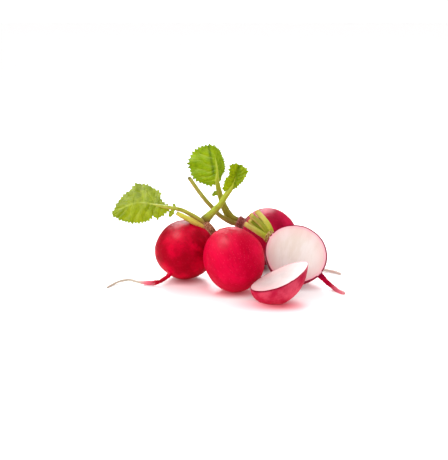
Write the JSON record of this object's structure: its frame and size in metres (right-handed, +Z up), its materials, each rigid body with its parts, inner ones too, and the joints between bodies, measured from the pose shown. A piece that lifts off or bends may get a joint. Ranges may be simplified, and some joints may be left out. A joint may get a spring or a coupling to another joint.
{
  "type": "bunch of radishes",
  "caption": "Small loose bunch of round red radishes with trimmed leaf stalks, young leaves and thin root tails, partly cut open to show the white flesh.",
  "frame": {"origin": "Middle of the bottom of the bounding box, on the table the radishes lie on.", "axes": "+Z is up, +X runs to the right along the bunch as seen from its front, and +Y points away from the viewer, to the back."},
  "size_m": [0.1104, 0.0755, 0.0595],
  "materials": {
    "skin": "smooth, moist crimson skin",
    "flesh": "wet cut white flesh",
    "stalk": "fibrous, softly glossy stalk",
    "leaf": "soft, faintly hairy leaf"
  },
  "bodies": {
    "root": {"left_root": "skin", "left_leaf": "leaf", "left_young_leaf": "leaf", "left_cut_stalk": "stalk", "front_root": "skin", "front_stalk_stubs": "stalk", "back_root": "skin", "back_leaf": "leaf", "back_cut_stalk": "stalk", "half_root": "skin", "half_stalk_stubs": "stalk", "cut_slice": "flesh"}
  },
  "joints": []
}
